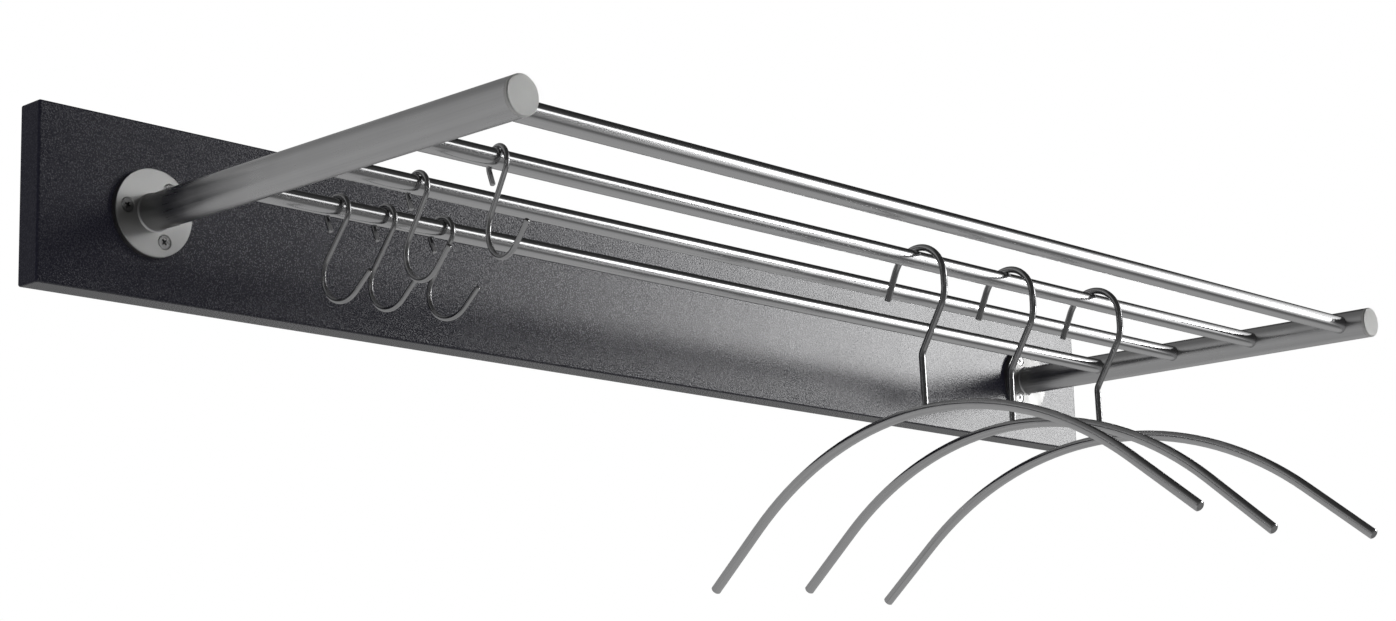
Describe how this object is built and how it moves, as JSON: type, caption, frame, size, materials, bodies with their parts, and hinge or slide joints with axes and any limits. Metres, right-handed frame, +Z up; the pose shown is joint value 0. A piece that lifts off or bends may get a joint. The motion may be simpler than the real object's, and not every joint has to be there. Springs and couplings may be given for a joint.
{
  "type": "wall clothes rail",
  "caption": "Wall clothes rail: a long dark lacquered board carries round brushed steel arms on screwed flanges, and parallel steel rails between the arms hold S-hooks and bowed coat hangers.",
  "frame": {"origin": "the board's back face against the wall, midway between the arms and level with their axes", "axes": "+X along the wall to the right as seen from the front, +Y into the wall, +Z up; the front faces -Y"},
  "size_m": [1.15, 0.5148, 0.2898],
  "materials": {
    "board_lacquer": "dark grey satin lacquer with a very fine texture",
    "plate_steel": "mottled satin",
    "tube_steel": "fine brushing along the arms",
    "rail_steel": "finely polished along the rails",
    "screw_steel": "plain bright",
    "wire_steel": "drawn wire",
    "bow_steel": "fine brushing along the bar"
  },
  "bodies": {
    "root": {"wall_board": "board_lacquer", "left_flange": "plate_steel", "right_flange": "plate_steel", "left_arm_cap": "plate_steel", "right_arm_cap": "plate_steel", "left_arm": "tube_steel", "right_arm": "tube_steel", "left_arm_weld": "tube_steel", "right_arm_weld": "tube_steel", "rail_1": "rail_steel", "rail_2": "rail_steel", "rail_3": "rail_steel", "rail_4": "rail_steel", "left_flange_screw_1": "screw_steel", "left_flange_screw_2": "screw_steel", "left_flange_screw_3": "screw_steel", "right_flange_screw_1": "screw_steel", "right_flange_screw_2": "screw_steel", "right_flange_screw_3": "screw_steel", "s_hook_1": "wire_steel", "s_hook_2": "wire_steel", "s_hook_3": "wire_steel", "s_hook_4": "wire_steel", "s_hook_5": "wire_steel", "hanger_hook_1": "wire_steel", "hanger_hook_2": "wire_steel", "hanger_hook_3": "wire_steel", "hanger_bow_1": "bow_steel", "hanger_bow_2": "bow_steel", "hanger_bow_3": "bow_steel"}
  },
  "joints": []
}
